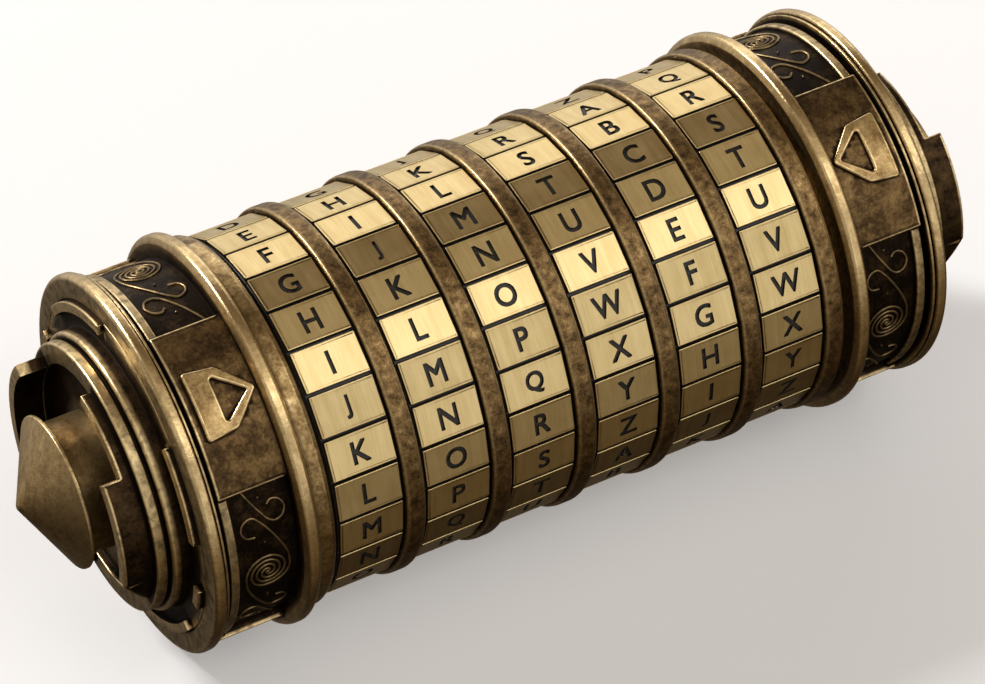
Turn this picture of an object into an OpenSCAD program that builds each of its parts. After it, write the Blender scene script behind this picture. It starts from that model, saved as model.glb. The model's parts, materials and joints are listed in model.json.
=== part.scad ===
// Combination puzzle vault (cryptex) with six 26-letter rings, lying on its side.
// The barrel axis runs along X. The origin is at the bottom centre of the bounding box.
// Each piece is built round a local Z axis: local 0 is the left edge of the first letter
// ring, and local +X is the read-out line that the two arrows point at.

/* [Letter rings] */
// Number of letter rings
ring_count = 6; // [4:1:7]
// Letters on each ring
letter_count = 26; // [20:1:30]
// Radius over the corners of the letter facets
facet_r = 23; // [22.5:0.1:24]
// Width of a letter cell along the barrel
cell_w = 8.7; // [7:0.1:10]
// Width of the raised bead at the right side of each ring
bead_w = 2.45; // [1.5:0.05:3]
// Radius of the raised bead
bead_r = 23.6; // [23.2:0.1:24.4]
// Gap between neighbouring rings
ring_gap = 0.45; // [0.3:0.05:0.8]
// Angle from straight up to the read-out line, turned towards the front
readout_tilt = 35.9; // [0:0.1:90]

/* [End caps] */
// Radius of the ridge next to the rings
ridge_r = 24.8; // [24.4:0.1:26]
// Width of that ridge
ridge_w = 2.2; // [1.5:0.1:3]
// Radius of the sunk frieze panels
frieze_r = 22.1; // [21.4:0.1:22.5]
// Width of the frieze panels
frieze_w = 7.7; // [6:0.1:10]
// Radius of the raised plaques that carry the arrows
plaque_r = 23.4; // [22.8:0.1:23.8]
// Angular width of a plaque
plaque_angle = 47; // [30:1:60]
// Number of plaques round a cap
plaque_count = 3; // [2:1:4]
// Width of the raised border beside the panels
border_w = 1.1; // [0.6:0.1:1.6]
// Width of the dark groove between border and rim
groove_w = 0.7; // [0.4:0.1:1.2]
// Width of the outer rim
rim_w = 2.0; // [1.5:0.1:3]
// Radius of the outer rim
rim_r = 24.0; // [23.6:0.1:24.4]

/* [End crowns] */
// Height of the outer crown over the rim face
outer_crown_h = 0.8; // [0.4:0.1:1.5]
// Height of the lower step over the rim face
low_step_h = 2.4; // [1.5:0.1:3]
// Height of the upper step over the rim face
high_step_h = 4.0; // [3.2:0.1:5]
// Height of the low merlons over the rim face
low_merlon_h = 5.5; // [4.6:0.1:6.5]
// Height of the tall merlons over the rim face
tall_merlon_h = 7.7; // [6.8:0.1:9]
// Height of the foot of the cone over the rim face
cone_foot_h = 9.0; // [8:0.1:10]
// Height of the tip of the cone over the rim face
cone_tip_h = 14.1; // [12:0.1:16]
// Radius of the cone at its foot
cone_r = 9.65; // [8:0.05:11]

/* [Lock] */
// Bore radius of the chamber that holds the rolled note
chamber_r = 10.5; // [9:0.1:10.8]
// Outer radius of the chamber tube
chamber_outer_r = 12.1; // [11.9:0.05:12.15]
// Inner radius of the slotted sleeve
sleeve_r = 12.3; // [12.25:0.05:12.5]
// Outer radius of the slotted sleeve
sleeve_outer_r = 13.8; // [13.4:0.05:14]
// Width of the slot in the sleeve
slot_w = 3.6; // [3.4:0.1:4]
// Width of a locking lug
lug_w = 3.0; // [2.6:0.1:3.1]
// Radius to the tip of a locking lug
lug_r = 15.7; // [15:0.1:15.8]
// Thickness of a locking lug along the barrel
lug_t = 1.8; // [1.4:0.1:2]
// Width of the gate notch in a code ring
gate_w = 3.8; // [3.6:0.1:4.4]

/* [Hidden] */
$fn = 96;

BRASS = [0.80, 0.68, 0.42];
ANTIQUE = [0.45, 0.34, 0.18];
DARK = [0.22, 0.17, 0.12];
STEEL = [0.62, 0.62, 0.60];
eps = 0.01;

// Rings along the barrel
ring_w = cell_w + bead_w;
ring_pitch = ring_w + ring_gap;
stack_end = ring_count * ring_pitch - ring_gap;
cell_step = 360 / letter_count;

// Cap lengths, each measured from the mouth of the cap
cap_w = ridge_w + frieze_w + border_w + groove_w + rim_w;
flange_l = -0.7;
flange_w = 2.35;
right_gap = 1.15;
left_mouth = flange_l - flange_w;
right_mouth = stack_end + right_gap;
left_face = left_mouth - cap_w;
right_face = right_mouth + cap_w;

// Whole object
tip_left = left_face - cone_tip_h;
tip_right = right_face + cone_tip_h;
axis_z = ridge_r;

// Mouldings of the caps and rings
mouth_chamfer = [0.7, 0.6];
ridge_chamfer = 0.5;
groove_chamfer = [0.3, 0.4];
rim_chamfer = 0.7;
groove_r = frieze_r - 0.2;
border_drop = 0.5;
bead_chamfer = 0.4;
bead_step = 0.9;
bead_groove = 0.2;
bead_rise = 0.5;
flange_chamfer = 0.5;
wall_overlap = 0.5;
separator_w = 0.44;
separator_depth = 0.4;
separator_stop = 0.3;
fit_gap = 0.05;
arrow_h = 0.5;
cut_margin = 1;

// Inside the caps, as heights over the rim face (negative is inwards)
seat_h = -0.5;
wall_t = 3.0;
base_t = 3.0;
base_h = seat_h - wall_t;
cavity_r = 19.2;
disc_r = 21.0;
base_r = 17.0;

// Crown outlines
outer_crown_in = 19.7;
low_step_r = 17.6;
high_step_r = 16.95;
neck_step_r = 16.4;
merlon_out = 15.8;
merlon_in = 14.3;
trough_h = 3.0;
neck_r = 8.3;
cone_lip = 0.45;
stud_r = 2.5;
neck_step = 0.2;

// [start, end] angles in degrees of the low stretches and the openings in the merlon wall,
// and of the openings in the outer wall
low_spans = [[-30, 11], [150, 191]];
open_spans = [[75, 150], [272, 330]];
outer_openings = [[40, 60], [70, 90], [136, 186], [220, 240], [250, 270], [316, 366]];
overcut = 5;
wall_cut_h = tall_merlon_h + cut_margin;
right_crown_turn = -12;

// Lock parts
code_r = 18.8;
key_w = 1.2;
key_r = 19.7;
key_root = code_r - 1;
bore_r = sleeve_outer_r + 0.1;
gate_r = lug_r + 0.4;
recess_w = 3.4;
lug_z = 0.6;
lug_root = 11.3;
hub_gap = 0.1;
collar_z = stack_end + ring_gap;
collar_w = 3.4;
collar_r = 18.5;
washer_r = 20.5;
washer_t = 0.5;
sleeve_end = collar_z + collar_w + 1;
sleeve_floor = left_face + (-base_h) + base_t;
tube_mouth = sleeve_floor + 0.5;
tube_floor = right_face + base_h - base_t;

// Screws
screw_r = 1.25;
screw_head_r = 2.3;
screw_head_t = 1.4;
screw_ring = 11.3;
screw_count = 3;
socket_r = 1.1;
socket_depth = 0.7;
screw_tip_gap = 0.3;
grub_r = 1;
grub_angles = [90, 180, 270];
grub_gap = 0.3;
spigot_l = 3;

// Turns local Z into the barrel axis and local +X into the read-out line
module along_barrel()
    translate([-(tip_left + tip_right) / 2, 0, axis_z])
        rotate([0, 90, 0]) rotate([0, 0, 180 + readout_tilt]) children();

// Local frame of an end: origin in the rim face, +Z outwards
module left_end() translate([0, 0, left_face]) mirror([0, 0, 1]) children();
module right_end() translate([0, 0, right_face]) rotate([0, 0, right_crown_turn]) children();

module tube(r_out, r_in, z0, z1)
    translate([0, 0, z0]) difference() {
        cylinder(r = r_out, h = z1 - z0);
        translate([0, 0, -eps]) cylinder(r = r_in, h = z1 - z0 + 2 * eps);
    }

// Piece of a ring wall between two angles, less than half a turn apart
module arc_wall(r_out, r_in, a0, a1, z0, z1)
    translate([0, 0, z0]) rotate([0, 0, a0]) rotate_extrude(angle = a1 - a0)
        translate([r_in, 0]) square([r_out - r_in, z1 - z0]);

// Pie slice used to cut the panels between two plaques
module panel_cut(a0, a1)
    rotate([0, 0, a0]) rotate_extrude(angle = a1 - a0)
        translate([frieze_r, ridge_w]) square([plaque_r + cut_margin - frieze_r, frieze_w]);

module border_cut(a0, a1)
    rotate([0, 0, a0]) rotate_extrude(angle = a1 - a0)
        translate([plaque_r - border_drop, ridge_w + frieze_w - eps])
            square([border_drop + cut_margin, border_w + eps]);

// Outline of a cap: radius against distance from the mouth
function cap_outline() = let (
    frieze_end = ridge_w + frieze_w + border_w,
    rim_start = frieze_end + groove_w
) [
    [cavity_r, 0], [ridge_r - mouth_chamfer[0], 0], [ridge_r, mouth_chamfer[1]],
    [ridge_r, ridge_w - ridge_chamfer], [ridge_r - ridge_chamfer, ridge_w], [plaque_r, ridge_w],
    [plaque_r, frieze_end], [groove_r, frieze_end], [groove_r, rim_start],
    [rim_r - groove_chamfer[0], rim_start], [rim_r, rim_start + groove_chamfer[1]],
    [rim_r, cap_w - rim_chamfer], [rim_r - rim_chamfer, cap_w],
    [disc_r + fit_gap, cap_w], [disc_r + fit_gap, cap_w + seat_h], [0, cap_w + seat_h],
    [0, cap_w + base_h], [cavity_r, cap_w + base_h]];

module screw_places() for (i = [0:screw_count - 1])
    rotate([0, 0, 60 + i * 360 / screw_count]) translate([screw_ring, 0, 0]) children();

// Arrow outline: a five-sided shield that points at the rings, tip towards -X here
function arrow_outline() = [[0.2, 0], [3.4, 3.4], [7.1, 4.3], [7.1, -4.3], [3.4, -3.4]];
function arrow_window() = [[1.7, 0], [5.2, 2.5], [5.2, -2.5]];

// A raised frame on the plaque, following its round face
module arrow_on_plaque()
    intersection() {
        tube(plaque_r + arrow_h, frieze_r, ridge_w, ridge_w + frieze_w + border_w);
        rotate([0, 90, 0]) translate([0, 0, cavity_r]) linear_extrude(height = plaque_r)
            translate([-ridge_w, 0]) mirror([1, 0]) difference() {
                polygon(arrow_outline());
                polygon(arrow_window());
            }
    }

// Cap casting: local Z runs from the mouth to the rim face
module cap_casting()
    difference() {
        union() {
            rotate_extrude() polygon(cap_outline());
            for (i = [0:plaque_count - 1]) rotate([0, 0, i * 360 / plaque_count]) arrow_on_plaque();
        }
        for (i = [0:plaque_count - 1]) {
            a0 = i * 360 / plaque_count + plaque_angle / 2;
            a1 = (i + 1) * 360 / plaque_count - plaque_angle / 2;
            panel_cut(a0, a1);
            border_cut(a0, a1);
        }
        translate([0, 0, cap_w + base_h - eps]) cylinder(r = stud_r, h = wall_t + 2 * eps);
        screw_places() translate([0, 0, cap_w + base_h - eps])
            cylinder(r = screw_r, h = wall_t + 2 * eps, $fn = 32);
        screw_places() translate([0, 0, cap_w + seat_h - screw_head_t])
            cylinder(r = screw_head_r, h = screw_head_t + eps, $fn = 32);
    }

module left_end_cap() color(ANTIQUE) along_barrel()
    translate([0, 0, left_mouth]) mirror([0, 0, 1]) cap_casting();

module right_end_cap() color(ANTIQUE) along_barrel()
    translate([0, 0, right_mouth]) cap_casting();

// Stepped crown: concentric steps, a broken low wall outside and a merlon wall inside
module crown() difference() {
    union() {
        translate([0, 0, seat_h]) cylinder(r = disc_r, h = outer_crown_h - seat_h);
        cylinder(r = low_step_r, h = low_step_h - neck_step);
        cylinder(r = neck_step_r, h = high_step_h - neck_step);
        translate([0, 0, low_step_h + neck_step])
            cylinder(r = high_step_r, h = high_step_h - low_step_h - neck_step);
        cylinder(r = merlon_out, h = tall_merlon_h);
    }
    tube(outer_crown_in, low_step_r, 0, outer_crown_h + cut_margin);
    translate([0, 0, trough_h]) cylinder(r = merlon_in, h = tall_merlon_h);
    translate([0, 0, seat_h - eps]) cylinder(r = stud_r, h = trough_h - seat_h + 2 * eps);
    for (a = open_spans)
        arc_wall(disc_r, merlon_in - cut_margin, a[0], a[1], high_step_h, wall_cut_h);
    for (a = low_spans)
        arc_wall(disc_r, merlon_in - cut_margin, a[0] - overcut, a[1], low_merlon_h, wall_cut_h);
    for (a = outer_openings)
        arc_wall(disc_r + cut_margin, outer_crown_in - cut_margin, a[0], a[1], 0,
                 outer_crown_h + cut_margin);
}

// Turned finial: cone, thin lip, neck and a threaded stud through to the base
module finial() {
    translate([0, 0, cone_foot_h]) cylinder(r1 = cone_r, r2 = 0, h = cone_tip_h - cone_foot_h);
    translate([0, 0, cone_foot_h - cone_lip]) cylinder(r = cone_r, h = cone_lip);
    translate([0, 0, trough_h]) cylinder(r = neck_r, h = cone_foot_h - cone_lip - trough_h);
    translate([0, 0, base_h - base_t]) cylinder(r = stud_r, h = trough_h - base_h + base_t);
}

// Cap screws: from the crown seat through the cap wall into the base behind it
module cap_screws() screw_places() {
    translate([0, 0, seat_h - screw_head_t]) difference() {
        cylinder(r = screw_head_r, h = screw_head_t - fit_gap, $fn = 32);
        translate([0, 0, screw_head_t - socket_depth])
            cylinder(r = socket_r, h = socket_depth + eps, $fn = 6);
    }
    translate([0, 0, base_h - base_t + screw_tip_gap])
        cylinder(r = screw_r, h = wall_t + base_t - screw_head_t - screw_tip_gap, $fn = 32);
}

module base_holes() {
    translate([0, 0, base_h - base_t - eps]) cylinder(r = stud_r, h = base_t + 2 * eps);
    screw_places() translate([0, 0, base_h - base_t + screw_tip_gap])
        cylinder(r = screw_r, h = base_t, $fn = 32);
}

module left_crown_disc() color(DARK) along_barrel() left_end() crown();
module right_crown_disc() color(DARK) along_barrel() right_end() crown();
module left_cone_finial() color(ANTIQUE) along_barrel() left_end() finial();
module right_cone_finial() color(ANTIQUE) along_barrel() right_end() finial();
module left_cap_screws() color(STEEL) along_barrel() left_end() cap_screws();
module right_cap_screws() color(STEEL) along_barrel() translate([0, 0, right_face]) cap_screws();

// Sleeve: base disc in the left cap, flange beside the first ring, tube with a lengthwise slot
module slotted_sleeve() color(BRASS) along_barrel() difference() {
    union() {
        left_end() translate([0, 0, base_h - base_t]) cylinder(r = base_r, h = base_t);
        tube(sleeve_outer_r, sleeve_r, sleeve_floor - eps, sleeve_end);
        rotate_extrude() polygon([
            [sleeve_outer_r - wall_overlap, left_mouth], [bead_r - bead_chamfer, left_mouth],
            [bead_r, left_mouth + bead_chamfer], [bead_r, flange_l - flange_chamfer],
            [bead_r - flange_chamfer, flange_l], [sleeve_outer_r - wall_overlap, flange_l]]);
        tube(cavity_r, sleeve_outer_r - wall_overlap, left_mouth - spigot_l, left_mouth);
    }
    left_end() base_holes();
    translate([0, -slot_w / 2, 0]) cube([collar_r, slot_w, sleeve_end + cut_margin]);
    grub_places() cylinder(r = grub_r, h = collar_r, $fn = 32);
}

// Axes of the collar's grub screws, each with local Z pointing outwards
module grub_places()
    translate([0, 0, collar_z + collar_w / 2]) for (a = grub_angles) rotate([0, 0, a])
        rotate([0, 90, 0]) children();

module friction_washer() color(STEEL) along_barrel()
    tube(washer_r, sleeve_outer_r, flange_l, flange_l + washer_t);

// Collar that keeps the rings on the sleeve, with one open gate in line with the slot
module retaining_collar() color(BRASS) along_barrel() difference() {
    tube(collar_r, sleeve_outer_r, collar_z, collar_z + collar_w);
    translate([0, -gate_w / 2, collar_z - cut_margin])
        cube([gate_r, gate_w, collar_w + 2 * cut_margin]);
    grub_places() cylinder(r = grub_r, h = collar_r + cut_margin, $fn = 32);
}

module collar_screws() color(STEEL) along_barrel() grub_places()
    translate([0, 0, sleeve_r + grub_gap])
        cylinder(r = grub_r, h = collar_r - sleeve_r - 2 * grub_gap, $fn = 32);

// Drawer: chamber tube with its base disc, closed at the right, open at the left
module chamber_tube() color(BRASS) along_barrel() difference() {
    union() {
        tube(chamber_outer_r, chamber_r, tube_mouth, tube_floor + eps);
        translate([0, 0, tube_floor]) cylinder(r = base_r, h = base_t);
    }
    translate([0, 0, right_face]) base_holes();
    lug_places() translate([lug_root, -lug_w / 2, 0]) cube([lug_r, lug_w, lug_t]);
}

module lug_places() for (k = [0:ring_count - 1])
    translate([0, 0, k * ring_pitch + lug_z]) children();

module locking_lugs() color(STEEL) along_barrel() lug_places() intersection() {
    translate([lug_root, -lug_w / 2, 0]) cube([lug_r - lug_root, lug_w, lug_t]);
    cylinder(r = lug_r, h = lug_t);
}

// Letter ring: 26 flat cells parted by grooves, a raised bead and an indexing bore
module letter_ring() difference() {
    union() {
        rotate([0, 0, cell_step / 2]) linear_extrude(height = cell_w)
            polygon([for (i = [0:letter_count - 1])
                facet_r * [cos(i * cell_step), sin(i * cell_step)]]);
        rotate_extrude() polygon([
            [code_r, cell_w - eps], [bead_r - bead_step, cell_w - eps],
            [bead_r - bead_step, cell_w + bead_groove], [bead_r, cell_w + bead_rise],
            [bead_r, ring_w - bead_chamfer], [bead_r - bead_chamfer, ring_w], [code_r, ring_w]]);
    }
    translate([0, 0, -eps]) cylinder(r = code_r, h = ring_w + 2 * eps);
    for (i = [0:letter_count - 1]) rotate([0, 0, (i + 0.5) * cell_step])
        translate([facet_r - separator_depth, -separator_w / 2, -eps])
            cube([cut_margin, separator_w, cell_w - separator_stop]);
    for (i = [0:letter_count - 1]) rotate([0, 0, i * cell_step])
        translate([key_root, -key_w / 2, -eps])
            cube([key_r - key_root, key_w, ring_w + 2 * eps]);
}

// Code ring: keyed in the letter ring; its web runs on the sleeve and has the gate notch
module code_ring() difference() {
    union() {
        cylinder(r = code_r, h = ring_pitch - hub_gap);
        for (a = [0, 180]) rotate([0, 0, a])
            translate([key_root, -key_w / 2, 0]) cube([key_r - key_root, key_w, ring_w]);
    }
    translate([0, 0, -eps]) cylinder(r = gate_r, h = recess_w + eps);
    cylinder(r = bore_r, h = ring_pitch);
    translate([0, -gate_w / 2, recess_w - eps]) cube([gate_r, gate_w, ring_pitch]);
}

for (k = [1:ring_count]) {
    color(BRASS) along_barrel() translate([0, 0, (k - 1) * ring_pitch]) letter_ring();
    color(ANTIQUE) along_barrel() translate([0, 0, (k - 1) * ring_pitch]) code_ring();
}
left_end_cap();
left_crown_disc();
left_cone_finial();
left_cap_screws();
slotted_sleeve();
friction_washer();
retaining_collar();
collar_screws();
right_end_cap();
right_crown_disc();
right_cone_finial();
right_cap_screws();
chamber_tube();
locking_lugs();
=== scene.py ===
"""Combination puzzle vault with six letter rings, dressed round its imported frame.

All lengths are metres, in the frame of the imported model: the barrel axis runs along X, and angles
round it are counted from the read-out line, growing towards the front and down.
"""

import json
import logging
import math
from dataclasses import dataclass, field
from enum import Enum
from functools import lru_cache
from typing import Any, Callable, Sequence

import bmesh
import bpy
import numpy as np
from mathutils import Matrix, Vector
from mathutils.geometry import tessellate_polygon

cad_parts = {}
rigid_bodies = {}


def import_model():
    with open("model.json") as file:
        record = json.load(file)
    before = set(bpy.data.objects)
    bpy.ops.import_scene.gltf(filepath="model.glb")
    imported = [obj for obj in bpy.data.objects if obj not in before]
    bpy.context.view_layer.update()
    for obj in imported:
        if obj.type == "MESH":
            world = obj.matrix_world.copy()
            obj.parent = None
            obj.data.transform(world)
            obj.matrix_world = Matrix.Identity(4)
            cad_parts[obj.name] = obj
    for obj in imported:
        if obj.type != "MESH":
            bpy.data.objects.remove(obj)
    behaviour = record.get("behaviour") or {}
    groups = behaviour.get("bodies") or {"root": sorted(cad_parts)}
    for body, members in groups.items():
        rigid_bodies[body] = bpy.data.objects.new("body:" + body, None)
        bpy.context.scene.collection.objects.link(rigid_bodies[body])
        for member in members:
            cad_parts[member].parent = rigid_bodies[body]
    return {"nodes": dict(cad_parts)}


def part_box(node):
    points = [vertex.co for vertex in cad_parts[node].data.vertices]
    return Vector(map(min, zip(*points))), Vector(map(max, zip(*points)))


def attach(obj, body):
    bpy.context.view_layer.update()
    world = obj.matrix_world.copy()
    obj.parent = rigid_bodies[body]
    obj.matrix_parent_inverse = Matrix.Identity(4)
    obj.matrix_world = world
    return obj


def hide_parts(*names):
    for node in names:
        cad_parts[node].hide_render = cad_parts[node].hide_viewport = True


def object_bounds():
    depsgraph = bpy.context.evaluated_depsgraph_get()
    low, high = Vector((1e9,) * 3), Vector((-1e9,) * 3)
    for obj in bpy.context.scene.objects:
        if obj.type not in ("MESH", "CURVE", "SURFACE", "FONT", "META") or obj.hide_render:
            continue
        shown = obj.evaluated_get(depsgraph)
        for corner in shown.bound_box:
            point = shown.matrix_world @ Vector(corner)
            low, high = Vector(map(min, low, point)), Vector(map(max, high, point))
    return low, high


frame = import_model()
CAD_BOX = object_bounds()

MM = 0.001
WEAR_AND_CREASE_SHADE = "wear_and_crease_shade"  # the attribute that holds how convex or hollow each vertex is: convex edges are worn, hollow creases get painted shade
ARC_SHARE = 0.45  # the part of an edge that the rounding of one corner may take
MITRE_LIMIT = 0.3  # keeps the corners of a moved outline from running far out
MERGE_DISTANCE = 0.0001 * MM
log = logging.getLogger("vault")

Point = tuple[float, float]
Corner = tuple[float, float, float]
Colour = tuple[float, float, float]


class Body(Enum):
    """The two bodies that are not letter rings."""

    BARREL = "barrel"
    DRAWER = "drawer"


class Side(Enum):
    """The end of the barrel, with the direction along X that leads out of it."""

    LEFT = -1
    RIGHT = 1

    @property
    def body(self) -> Body:
        """The body that this end's pieces ride on."""
        return Body.BARREL if self is Side.LEFT else Body.DRAWER


class Cut(Enum):
    """How two solids are combined."""

    JOIN = "UNION"
    REMOVE = "DIFFERENCE"


class RingFinish(Enum):
    """The finishes of a letter ring, by their place in its list of materials."""

    CELL = 0
    FILL = 1
    BEAD = 2


@dataclass(frozen=True)
class Barrel:
    """The barrel axis, and the places that the frame gives along it."""

    axis_z: float = (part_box("letter_ring_1")[0].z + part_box("letter_ring_1")[1].z) / 2
    readout_tilt: float = math.radians(35.9)
    ring_start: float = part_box("letter_ring_1")[0].x
    ring_pitch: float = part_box("letter_ring_2")[0].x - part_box("letter_ring_1")[0].x
    left_mouth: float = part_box("left_end_cap")[1].x
    right_mouth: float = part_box("right_end_cap")[0].x
    cap_width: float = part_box("left_end_cap")[1].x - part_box("left_end_cap")[0].x
    top_radius: float = (CAD_BOX[1][2] - CAD_BOX[0][2]) / 2

    def at(self, x: float, r: float, a: float) -> Vector:
        """Place of a point given along the barrel, out from its axis and round it.

        Args:
            x: distance along X.
            r: distance from the axis.
            a: angle from the read-out line, in radians.

        Returns:
            The point in the frame.
        """
        turn = self.readout_tilt + a
        return Vector((x, -r * math.sin(turn), self.axis_z + r * math.cos(turn)))

    def turned(self, a: float) -> Matrix:
        """Turn about the barrel axis by the angle a."""
        centre = Vector((0.0, 0.0, self.axis_z))
        return Matrix.Translation(centre) @ Matrix.Rotation(a, 4, "X") @ Matrix.Translation(-centre)

    def mouth(self, side: Side) -> float:
        """X of the end cap's mouth, which faces the rings."""
        return self.left_mouth if side is Side.LEFT else self.right_mouth

    def face(self, side: Side) -> float:
        """X of the rim face at that end."""
        return self.mouth(side) + side.value * self.cap_width


BARREL = Barrel()


# ---------------------------------------------------------------- outlines

def rounded(corners: Sequence[Corner], steps: int = 5, closed: bool = True) -> list[Point]:
    """Rounds the corners of an outline, with a guard point at each side of every arc.

    Args:
        corners: points of the outline, each with its rounding radius.
        steps: segments in each arc.
        closed: whether the last corner joins the first.

    Returns:
        The points of the rounded outline.
    """
    out: list[Point] = []
    count = len(corners)
    for i, (x, y, radius) in enumerate(corners):
        here = Vector((x, y))
        if radius <= 0 or (not closed and i in (0, count - 1)):
            out.append((x, y))
            continue
        back = Vector(corners[i - 1][:2]) - here
        ahead = Vector(corners[(i + 1) % count][:2]) - here
        half = back.angle(ahead) / 2
        reach = min(radius / math.tan(half), back.length * ARC_SHARE, ahead.length * ARC_SHARE)
        radius = reach * math.tan(half)
        centre = here + (back.normalized() + ahead.normalized()).normalized() * radius / math.sin(half)
        first = here + back.normalized() * reach - centre
        last = here + ahead.normalized() * reach - centre
        sweep = math.atan2(first.x * last.y - first.y * last.x, first.dot(last))
        for k in range(steps + 1):
            spoke = first.copy()
            spoke.rotate(Matrix.Rotation(sweep * k / steps, 2))
            out.append(tuple(centre + spoke))
    return out


def inset(loop: Sequence[Point], distance: float) -> list[Point]:
    """Moves an outline towards its left-hand side, where the material is.

    Args:
        loop: points of the closed outline.
        distance: how far it moves.

    Returns:
        The points of the moved outline, in the same order.
    """
    out = []
    for i, point in enumerate(loop):
        here = Vector(point)
        before = (here - Vector(loop[i - 1])).normalized()
        after = (Vector(loop[(i + 1) % len(loop)]) - here).normalized()
        n1 = Vector((-before.y, before.x))
        n2 = Vector((-after.y, after.x))
        out.append(tuple(here + (n1 + n2) * distance / max(1 + n1.dot(n2), MITRE_LIMIT)))
    return out


def signed_area(loop: Sequence[Point]) -> float:
    """Area of an outline, positive where it runs counter-clockwise."""
    return sum(a[0] * b[1] - b[0] * a[1] for a, b in zip(loop, [*loop[1:], loop[0]])) / 2


def span(start: float, end: float, step: float) -> list[float]:
    """Evenly spaced values between two ends, no further apart than step, both ends left out."""
    count = max(1, math.ceil(abs(end - start) / step))
    return [start + (end - start) * i / count for i in range(1, count)]


# ---------------------------------------------------------------- solids

def linked(name: str, data: bpy.types.ID) -> bpy.types.Object:
    """Makes an object and links it to the scene.

    Args:
        name: name of the object.
        data: its mesh, light or text.

    Returns:
        The object.
    """
    obj = bpy.data.objects.new(name, data)
    bpy.context.scene.collection.objects.link(obj)
    return obj


def as_object(name: str, verts: Sequence[Sequence[float]],
              faces: Sequence[Sequence[int]]) -> bpy.types.Object:
    """Makes a closed mesh object whose faces point outwards.

    Args:
        name: name of the object.
        verts: places of its vertices.
        faces: indices of the vertices of each face.

    Returns:
        The object, linked to the scene.
    """
    mesh = bpy.data.meshes.new(name)
    mesh.from_pydata([tuple(v) for v in verts], [], faces)
    obj = linked(name, mesh)
    settle(obj, lambda point: point)
    return obj


def settle(obj: bpy.types.Object, place: Callable[[Vector], Vector]) -> None:
    """Moves every vertex with a function and points the faces outwards again.

    Args:
        obj: the object to change.
        place: gives the new place of a vertex.
    """
    bm = bmesh.new()
    bm.from_mesh(obj.data)
    for vert in bm.verts:
        vert.co = place(vert.co)
    bmesh.ops.remove_doubles(bm, verts=bm.verts, dist=MERGE_DISTANCE)
    bmesh.ops.recalc_face_normals(bm, faces=bm.faces)
    bm.to_mesh(obj.data)
    bm.free()


def lathe(name: str, outline: Sequence[Point], segments: int = 240) -> bpy.types.Object:
    """Turns a closed outline of (x, radius) points about the barrel axis.

    Args:
        name: name of the object.
        outline: points round the section; a point on the axis makes a pole.
        segments: steps round the axis.

    Returns:
        The turned solid.
    """
    verts: list[Vector] = []
    rows: list[list[int]] = []
    for x, r in outline:
        count = 1 if r < 1e-6 else segments
        rows.append([len(verts) + (i if count > 1 else 0) for i in range(segments)])
        verts.extend(BARREL.at(x, r, math.tau * i / segments) for i in range(count))
    faces = []
    for low, high in zip(rows, [*rows[1:], rows[0]]):
        for i in range(segments):
            j = (i + 1) % segments
            ring = list(dict.fromkeys((low[i], low[j], high[j], high[i])))
            if len(ring) > 2:
                faces.append(ring)
    return as_object(name, verts, faces)


def band(low: int, high: int, count: int) -> list[tuple[int, int, int, int]]:
    """Faces between two closed rows of vertices, given the number of the first vertex of each.

    Args:
        low: first vertex of the lower row.
        high: first vertex of the upper row.
        count: vertices in a row.

    Returns:
        The vertex numbers of each face.
    """
    return [(low + i, low + (i + 1) % count, high + (i + 1) % count, high + i) for i in range(count)]


def plate(name: str, outline: Sequence[Point], height: float, edge: float,
          holes: Sequence[Sequence[Point]] = (), guard: float = 0.25 * MM) -> bpy.types.Object:
    """Makes a flat plate with rounded upper edges.

    Args:
        name: name of the object.
        outline: its outer edge.
        height: thickness of the plate.
        edge: radius of the upper edges.
        holes: edges of its holes.
        guard: width of the flat strip kept beside the rounding.

    Returns:
        The plate, standing on the XY plane.
    """
    arcs = [math.radians(30 * k) for k in (1, 2, 3)]
    levels = [(0.0, 0.0), (0.0, height - edge)]
    levels += [(edge * (1 - math.cos(t)), height - edge + edge * math.sin(t)) for t in arcs]
    levels += [(edge + guard, height)] if guard else []
    loops = []
    for number, loop in enumerate([outline, *holes]):
        turned = list(loop) if (signed_area(loop) > 0) == (number == 0) else list(reversed(loop))
        loops.append(turned)
    verts: list[tuple[float, float, float]] = []
    faces: list[Sequence[int]] = []
    caps: dict[int, list[list[Vector]]] = {0: [], len(levels) - 1: []}
    index: dict[int, list[int]] = {0: [], len(levels) - 1: []}
    for loop in loops:
        count = len(loop)
        for k, (distance, z) in enumerate(levels):
            points = inset(loop, distance) if distance else loop
            if k in caps:
                caps[k].append([Vector((*p, 0)) for p in points])
                index[k].extend(range(len(verts), len(verts) + count))
            if k:
                faces += band(len(verts) - count, len(verts), count)
            verts += [(*p, z) for p in points]
    for k, cap in caps.items():
        faces += [tuple(index[k][i] for i in triangle) for triangle in tessellate_polygon(cap)]
    return as_object(name, verts, faces)


def wrap(obj: bpy.types.Object, place: Callable[[Vector], Vector], step: float,
         across: float = 0.0) -> None:
    """Bends a flat piece, after slicing it finely enough to follow the bend.

    Args:
        obj: the flat piece.
        place: gives the place of a point of the flat piece.
        step: distance between slices along X.
        across: distance between slices along Y, or 0 for none.
    """
    bm = bmesh.new()
    bm.from_mesh(obj.data)
    for axis, gap in ((0, step), (1, across)):
        if not gap:
            continue
        reach = [vert.co[axis] for vert in bm.verts]
        normal = Vector((1 - axis, axis, 0))
        for value in span(min(reach), max(reach), gap):
            parts = [*bm.verts, *bm.edges, *bm.faces]
            bmesh.ops.bisect_plane(bm, geom=parts, dist=1e-8, plane_co=normal * value, plane_no=normal)
    bm.to_mesh(obj.data)
    bm.free()
    settle(obj, place)


def evaluated_mesh(obj: bpy.types.Object) -> bpy.types.Mesh:
    """The mesh that an object's modifiers give, as a plain mesh."""
    return bpy.data.meshes.new_from_object(obj.evaluated_get(bpy.context.evaluated_depsgraph_get()))


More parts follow.
